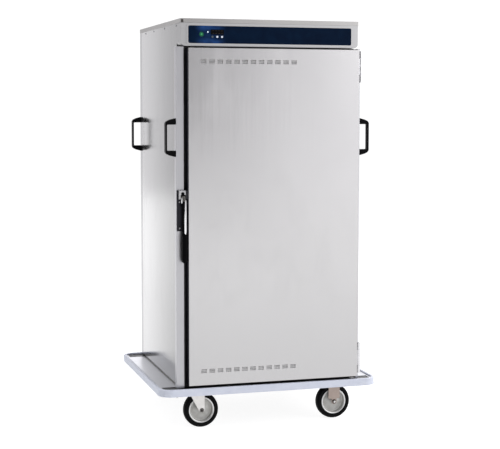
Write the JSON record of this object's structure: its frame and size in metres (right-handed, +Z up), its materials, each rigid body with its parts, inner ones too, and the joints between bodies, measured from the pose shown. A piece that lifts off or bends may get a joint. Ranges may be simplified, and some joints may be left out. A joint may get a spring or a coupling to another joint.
{
  "type": "mobile proofing and holding cabinet",
  "caption": "Tall insulated stainless cabinet with a full-height hinged door, digital control panel, side push handles, bumper deck and large casters.",
  "frame": {"origin": "centre of the bumper's footprint, on the floor under the wheels", "axes": "+Z up, the door faces -Y, and the door's hinges are on the +X side"},
  "size_m": [0.972, 0.87, 1.735],
  "materials": {
    "panels": "brushed stainless steel",
    "cap": "brushed stainless steel, darker",
    "housing": "brushed stainless steel",
    "posts": "brushed stainless steel",
    "door_steel": "brushed stainless steel",
    "liner": "plain stainless steel",
    "deck": "smooth stainless steel",
    "frame": "grey paint",
    "black_steel": "black satin paint",
    "hinges": "bright plated",
    "chrome": "polished",
    "fasteners": "plain plated",
    "caster_steel": "zinc plated, satin",
    "hub": "cast, satin",
    "tyre": "matt rubber",
    "bumper": "pale grey satin vinyl",
    "seal": "black satin",
    "handles": "black satin",
    "black_plastic": "black satin",
    "panel_navy": "dark blue overlay, satin",
    "display": "dark gloss",
    "green_lens": "lit green",
    "buttons": "pale satin",
    "board": "lacquered",
    "wool": "loose fibre",
    "cable": "matt"
  },
  "bodies": {
    "cabinet": {"side_panel_left": "panels", "side_panel_right": "panels", "back_panel": "panels", "bottom_panel": "panels", "top_cap": "cap", "control_housing": "housing", "door_posts": "posts", "throat_frame": "black_steel", "liner_wrap": "liner", "liner_ends": "liner", "insulation": "wool", "heating_cable": "cable", "side_racks": "liner", "deck_plate": "deck", "base_rails": "black_steel", "caster_channels": "frame", "bumper": "bumper", "body_screws": "fasteners", "strike_plate": "black_plastic", "cord_gland": "black_plastic", "control_board": "board", "service_cover": "panels", "control_panel": "panel_navy", "display_window": "display", "handles_left": "handles", "handles_right": "handles", "hinge_leaves": "hinges", "hinge_pins": "chrome", "caster_plates": "caster_steel", "rigid_forks": "caster_steel"},
    "door": {"door_skin": "door_steel", "door_liner": "liner", "door_insulation": "wool", "door_gasket": "seal", "hinge_straps": "hinges", "latch_head": "chrome", "latch_pin": "chrome"},
    "latch": {"latch_lever": "chrome", "latch_grip": "black_plastic"},
    "top_vent_slide": {"vent_slide_top": "liner"},
    "bottom_vent_slide": {"vent_slide_bottom": "liner"},
    "power_key": {"power_button": "green_lens"},
    "set_key": {"set_button": "buttons"},
    "up_key": {"up_button": "buttons"},
    "down_key": {"down_button": "buttons"},
    "lower_shelf": {"shelf_1": "chrome"},
    "middle_shelf": {"shelf_2": "chrome"},
    "upper_shelf": {"shelf_3": "chrome"},
    "front_left_swivel": {"fl_fork": "caster_steel"},
    "front_left_wheel": {"fl_tyre": "tyre", "fl_hub": "hub"},
    "front_left_brake": {"fl_brake": "caster_steel"},
    "rear_left_swivel": {"rl_fork": "caster_steel"},
    "rear_left_wheel": {"rl_tyre": "tyre", "rl_hub": "hub"},
    "rear_left_brake": {"rl_brake": "caster_steel"},
    "front_right_wheel": {"fr_tyre": "tyre", "fr_hub": "hub"},
    "rear_right_wheel": {"rr_tyre": "tyre", "rr_hub": "hub"}
  },
  "joints": [
    {"name": "door_swing", "type": "hinge", "parent": "cabinet", "child": "door", "pos_m": [0.404, -0.408, 0.9], "axis": [0, 0, 1], "range_deg": [0, 150]},
    {"name": "latch_pull", "type": "hinge", "parent": "door", "child": "latch", "pos_m": [-0.383, -0.411, 0.996], "axis": [-1, 0, 0], "range_deg": [0, 35], "stiffness_Nm_per_rad": 1, "springref_deg": -5.73},
    {"name": "top_vent_close", "type": "slide", "parent": "door", "child": "top_vent_slide", "axis": [1, 0, 0], "range_m": [0, 0.018]},
    {"name": "bottom_vent_close", "type": "slide", "parent": "door", "child": "bottom_vent_slide", "axis": [1, 0, 0], "range_m": [0, 0.018]},
    {"name": "power_press", "type": "slide", "parent": "cabinet", "child": "power_key", "axis": [0, 1, 0], "range_m": [0, 0.0012], "stiffness_N_per_m": 400, "springref_m": -0.002},
    {"name": "set_press", "type": "slide", "parent": "cabinet", "child": "set_key", "axis": [0, 1, 0], "range_m": [0, 0.0012], "stiffness_N_per_m": 400, "springref_m": -0.002},
    {"name": "up_press", "type": "slide", "parent": "cabinet", "child": "up_key", "axis": [0, 1, 0], "range_m": [0, 0.0012], "stiffness_N_per_m": 400, "springref_m": -0.002},
    {"name": "down_press", "type": "slide", "parent": "cabinet", "child": "down_key", "axis": [0, 1, 0], "range_m": [0, 0.0012], "stiffness_N_per_m": 400, "springref_m": -0.002},
    {"name": "lower_shelf_slide", "type": "slide", "parent": "cabinet", "child": "lower_shelf", "axis": [0, -1, 0], "range_m": [0, 0.042]},
    {"name": "middle_shelf_slide", "type": "slide", "parent": "cabinet", "child": "middle_shelf", "axis": [0, -1, 0], "range_m": [0, 0.042]},
    {"name": "upper_shelf_slide", "type": "slide", "parent": "cabinet", "child": "upper_shelf", "axis": [0, -1, 0], "range_m": [0, 0.042]},
    {"name": "front_left_swivel_turn", "type": "hinge", "parent": "cabinet", "child": "front_left_swivel", "pos_m": [-0.315, -0.322, 0.16], "axis": [0, 0, 1], "continuous": true},
    {"name": "front_left_wheel_spin", "type": "hinge", "parent": "front_left_swivel", "child": "front_left_wheel", "pos_m": [-0.286, -0.322, 0.076], "axis": [0, 1, 0], "continuous": true},
    {"name": "front_left_brake_release", "type": "hinge", "parent": "front_left_swivel", "child": "front_left_brake", "pos_m": [-0.327, -0.322, 0.147], "axis": [0, 1, 0], "range_deg": [0, 25]},
    {"name": "rear_left_swivel_turn", "type": "hinge", "parent": "cabinet", "child": "rear_left_swivel", "pos_m": [-0.315, 0.322, 0.16], "axis": [0, 0, 1], "continuous": true},
    {"name": "rear_left_wheel_spin", "type": "hinge", "parent": "rear_left_swivel", "child": "rear_left_wheel", "pos_m": [-0.286, 0.322, 0.076], "axis": [0, 1, 0], "continuous": true},
    {"name": "rear_left_brake_release", "type": "hinge", "parent": "rear_left_swivel", "child": "rear_left_brake", "pos_m": [-0.327, 0.322, 0.147], "axis": [0, 1, 0], "range_deg": [0, 25]},
    {"name": "front_right_wheel_spin", "type": "hinge", "parent": "cabinet", "child": "front_right_wheel", "pos_m": [0.315, -0.322, 0.076], "axis": [0, 1, 0], "continuous": true},
    {"name": "rear_right_wheel_spin", "type": "hinge", "parent": "cabinet", "child": "rear_right_wheel", "pos_m": [0.315, 0.322, 0.076], "axis": [0, 1, 0], "continuous": true}
  ]
}
